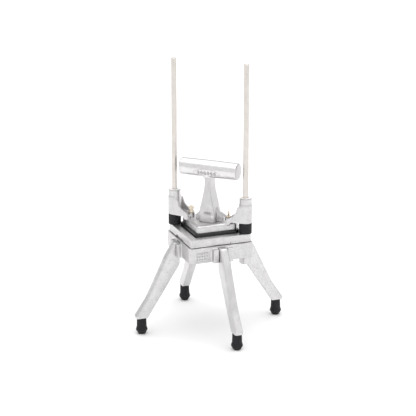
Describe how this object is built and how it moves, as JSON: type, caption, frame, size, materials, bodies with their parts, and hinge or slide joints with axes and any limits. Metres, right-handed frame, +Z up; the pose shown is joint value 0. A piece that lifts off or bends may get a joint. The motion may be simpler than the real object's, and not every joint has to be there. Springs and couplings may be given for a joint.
{
  "type": "vegetable dicer",
  "caption": "Tabletop vegetable dicer: a T-handled head with a finger block slides on guide rods to push food through a square blade grid over splayed legs.",
  "frame": {"origin": "on the surface it stands on, midway between the four feet", "axes": "+X from the left guide rod to the right one, along the T handle's grip; +Y away from the front of the dicer; +Z up, along the guide rods"},
  "size_m": [0.219, 0.219, 0.509],
  "materials": {
    "cast_aluminium": "bright tumbled cast aluminium, satin, with a fine sparkle",
    "stainless_rod": "ground stainless rod, satin, slightly warm",
    "blade_steel": "thin polished stainless blade strip",
    "zinc_steel": "zinc-plated steel fastener",
    "brass": "pale plated brass, lightly worn",
    "black_rubber": "matt moulded black rubber",
    "black_plastic": "moulded black nylon, semi-matt",
    "white_nylon": "turned white nylon"
  },
  "bodies": {
    "base": {"base_casting": "cast_aluminium", "leg_back_right": "cast_aluminium", "leg_back_left": "cast_aluminium", "leg_front_left": "cast_aluminium", "leg_front_right": "cast_aluminium", "leg_bolt_back_right": "zinc_steel", "leg_bolt_back_left": "zinc_steel", "leg_bolt_front_left": "zinc_steel", "leg_bolt_front_right": "zinc_steel", "foot_back_right": "black_rubber", "foot_back_left": "black_rubber", "foot_front_left": "black_rubber", "foot_front_right": "black_rubber", "guide_rod_left": "stainless_rod", "guide_rod_right": "stainless_rod", "rod_washer_left": "zinc_steel", "rod_washer_right": "zinc_steel", "rod_nut_left": "zinc_steel", "rod_nut_right": "zinc_steel", "bumper_left": "black_rubber", "bumper_right": "black_rubber", "blade_frame": "cast_aluminium", "blade_upper_1": "blade_steel", "blade_upper_2": "blade_steel", "blade_upper_3": "blade_steel", "blade_upper_4": "blade_steel", "blade_upper_5": "blade_steel", "blade_upper_6": "blade_steel", "blade_lower_1": "blade_steel", "blade_lower_2": "blade_steel", "blade_lower_3": "blade_steel", "blade_lower_4": "blade_steel", "blade_lower_5": "blade_steel", "blade_lower_6": "blade_steel", "blade_bar_back_right": "zinc_steel", "blade_bar_back_left": "zinc_steel", "blade_bar_front_left": "zinc_steel", "blade_bar_front_right": "zinc_steel", "bar_screw_back_right_1": "zinc_steel", "bar_screw_back_right_2": "zinc_steel", "bar_screw_back_left_1": "zinc_steel", "bar_screw_back_left_2": "zinc_steel", "bar_screw_front_left_1": "zinc_steel", "bar_screw_front_left_2": "zinc_steel", "bar_screw_front_right_1": "zinc_steel", "bar_screw_front_right_2": "zinc_steel"},
    "head": {"head_casting": "cast_aluminium", "tee_handle": "cast_aluminium", "handle_screw_left": "zinc_steel", "handle_screw_right": "zinc_steel", "bushing_lower_left": "white_nylon", "bushing_lower_right": "white_nylon", "bushing_upper_left": "white_nylon", "bushing_upper_right": "white_nylon", "pusher_block": "black_plastic"},
    "thumb_screw_left": {"thumb_screw_left": "brass"},
    "thumb_screw_right": {"thumb_screw_right": "brass"}
  },
  "joints": [
    {"name": "head_slide", "type": "slide", "parent": "base", "child": "head", "axis": [0, 0, 1], "range_m": [0, 0.245]},
    {"name": "thumb_screw_left_turn", "type": "hinge", "parent": "head", "child": "thumb_screw_left", "pos_m": [-0.038, 0, 0.2177], "axis": [0, 0, 1], "continuous": true},
    {"name": "thumb_screw_right_turn", "type": "hinge", "parent": "head", "child": "thumb_screw_right", "pos_m": [0.038, 0, 0.2177], "axis": [0, 0, 1], "continuous": true}
  ]
}
